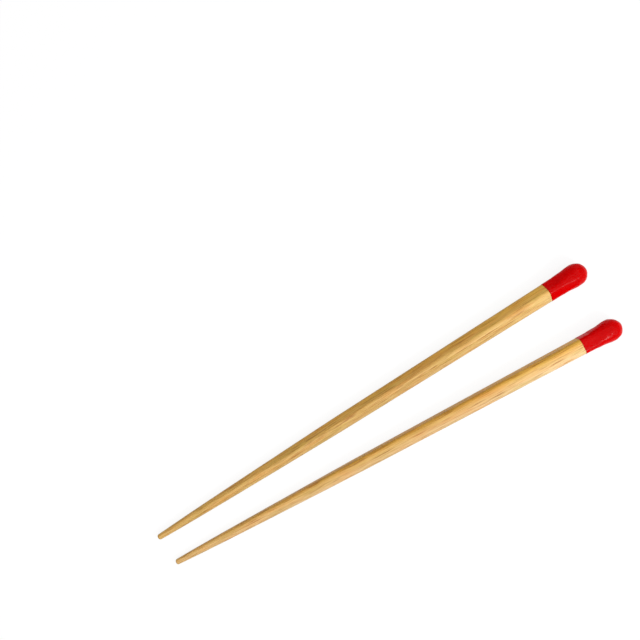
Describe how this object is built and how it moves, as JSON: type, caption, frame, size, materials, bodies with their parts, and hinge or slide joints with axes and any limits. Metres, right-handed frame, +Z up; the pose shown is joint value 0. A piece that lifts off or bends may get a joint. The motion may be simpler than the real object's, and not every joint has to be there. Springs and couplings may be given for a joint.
{
  "type": "pair of bamboo chopsticks",
  "caption": "Pair of tapered bamboo chopsticks with square handles, round tips and round red dipped heads, lying side by side and spread towards the heads.",
  "frame": {"origin": "on the table, under the middle of the pair's bounding box", "axes": "+X from the tips towards the heads, +Y across the pair, +Z up"},
  "size_m": [0.226, 0.0394, 0.0105],
  "materials": {
    "bamboo": "sanded bamboo with a clear satin coat",
    "red_coat": "thick glossy red dipped coat"
  },
  "bodies": {
    "root": {"upper_shaft": "bamboo", "upper_head": "red_coat", "lower_shaft": "bamboo", "lower_head": "red_coat"}
  },
  "joints": []
}
